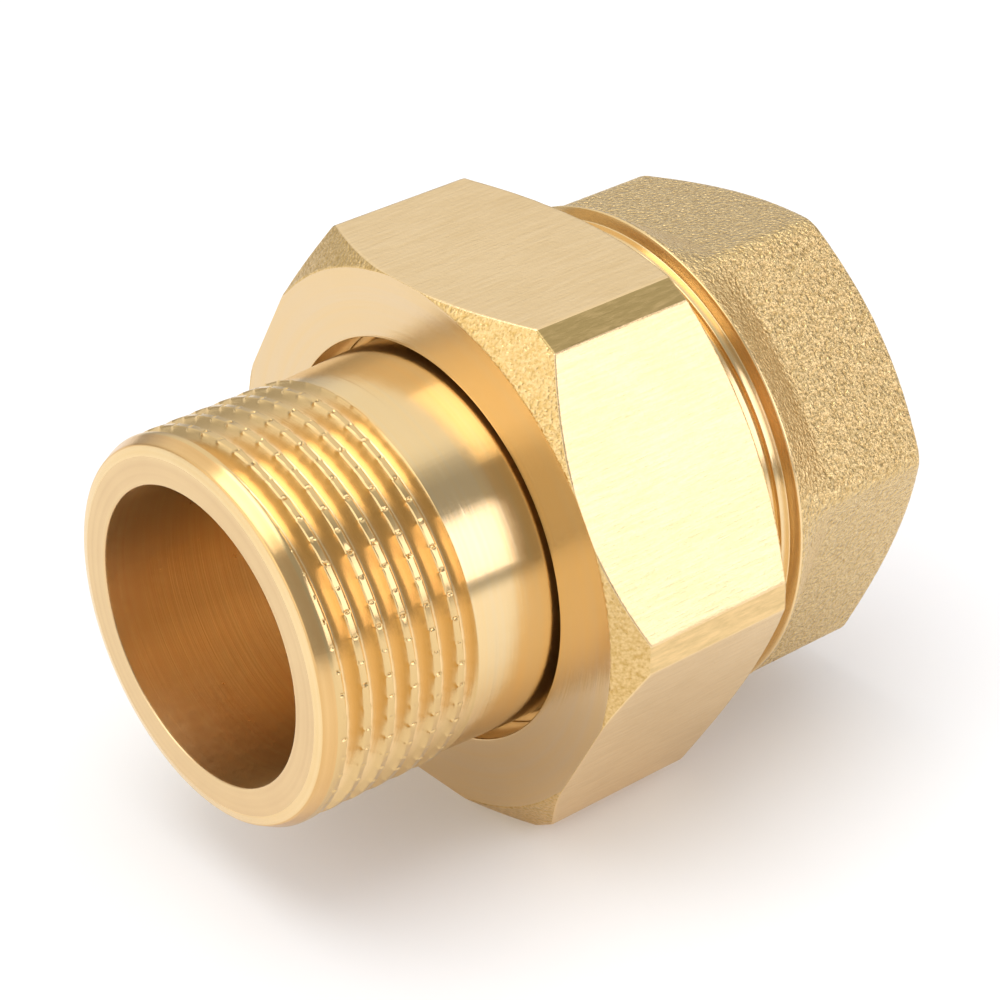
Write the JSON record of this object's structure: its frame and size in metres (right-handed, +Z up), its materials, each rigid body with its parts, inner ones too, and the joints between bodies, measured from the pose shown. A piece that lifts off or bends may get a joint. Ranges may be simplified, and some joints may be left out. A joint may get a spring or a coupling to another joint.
{
  "type": "pipe union",
  "caption": "Straight brass pipe union, male pipe thread by female pipe thread, joined by a hexagon nut over a flat washer seat.",
  "frame": {"origin": "centre of the female port's mouth, on the axis of the bore", "axes": "+X along the bore towards the female port, -X towards the male port, +Z up, with two of the nut's flats level"},
  "size_m": [0.0611, 0.0522, 0.0464],
  "materials": {
    "turned_brass": "turned satin with fine lathe lines",
    "nut_brass": "milled satin flats with fine lines",
    "forged_brass": "shot-blasted forging, grainy satin",
    "washer": "matte"
  },
  "bodies": {
    "body": {"female_body": "forged_brass"},
    "washer": {"seal": "washer"},
    "nut": {"union_nut": "nut_brass"},
    "tailpiece": {"male_tailpiece": "turned_brass"}
  },
  "joints": [
    {"name": "washer_travel", "type": "slide", "parent": "body", "child": "washer", "axis": [-1, 0, 0], "range_m": [0, 0.0082]},
    {"name": "nut_screw", "type": "hinge", "parent": "washer", "child": "nut", "pos_m": [-0.0294, 0, 0], "axis": [-1, 0, 0], "range_deg": [0, 1260]},
    {"name": "tailpiece_swivel", "type": "hinge", "parent": "washer", "child": "tailpiece", "pos_m": [-0.0458, 0, 0], "axis": [-1, 0, 0], "continuous": true}
  ],
  "couplings": [
    {"joint": "washer_travel", "follows": "nut_screw", "m_per_rad": 0.00036749}
  ]
}
